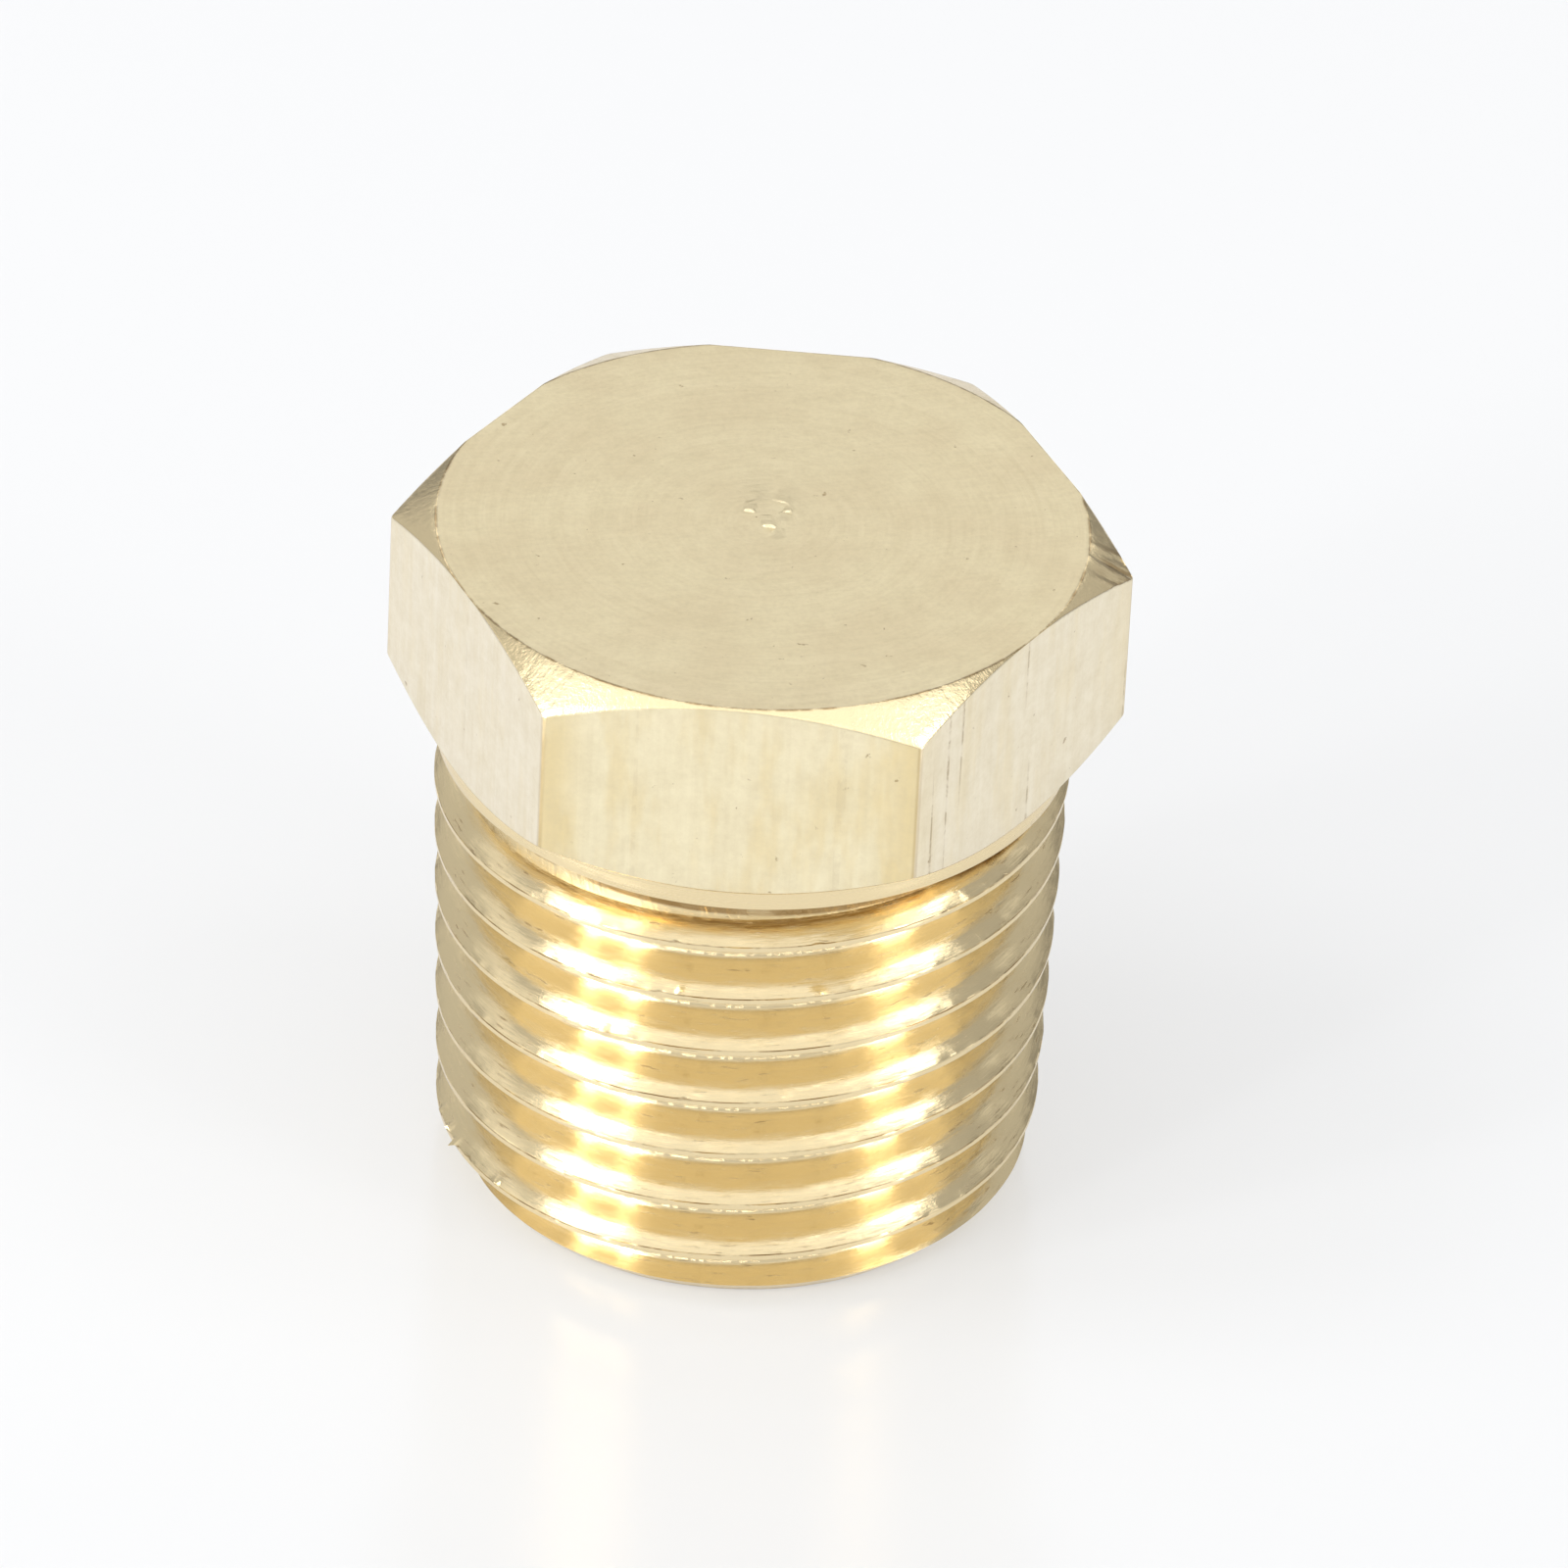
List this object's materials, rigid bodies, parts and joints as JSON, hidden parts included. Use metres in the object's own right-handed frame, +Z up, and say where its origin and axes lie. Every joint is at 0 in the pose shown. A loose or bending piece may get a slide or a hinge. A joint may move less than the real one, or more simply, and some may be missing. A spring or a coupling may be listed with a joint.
{
  "type": "hex head pipe plug",
  "caption": "Solid brass plug with a hexagon head, a thin collar, a relieved neck and an external tapered pipe thread, for closing a threaded port.",
  "frame": {"origin": "centre of the thread's end face, at the bottom of the plug", "axes": "+Z up along the thread's axis, from the thread end to the head; +X towards a corner of the hexagon, +Y towards the middle of a flat"},
  "size_m": [0.0162, 0.014, 0.0163],
  "materials": {
    "turned_brass": "as turned, satin"
  },
  "bodies": {
    "root": {"hex_head_plug": "turned_brass"}
  },
  "joints": []
}
